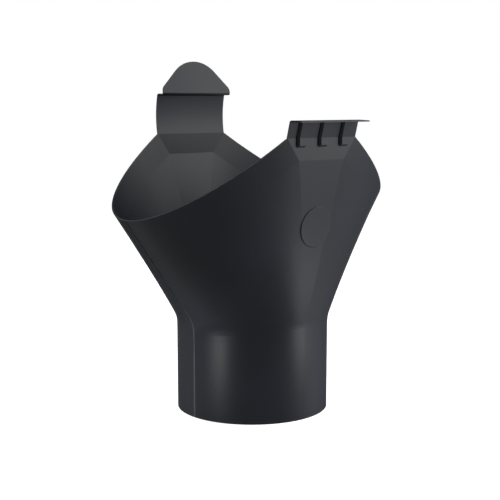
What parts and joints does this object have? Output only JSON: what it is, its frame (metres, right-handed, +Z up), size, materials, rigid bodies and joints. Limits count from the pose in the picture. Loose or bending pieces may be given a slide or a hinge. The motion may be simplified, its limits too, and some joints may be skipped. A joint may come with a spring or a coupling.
{
  "type": "gutter outlet",
  "caption": "Pressed steel outlet that hooks under a half-round gutter and funnels its water into a round downpipe.",
  "frame": {"origin": "on the spigot's axis, at the spigot's lower end", "axes": "+Z up along the spigot, X along the gutter, -Y to the front, where the ribbed hook is"},
  "size_m": [0.1514, 0.1052, 0.1712],
  "materials": {
    "coated_steel": "satin coil coating"
  },
  "bodies": {
    "root": {"gutter_outlet": "coated_steel"}
  },
  "joints": []
}
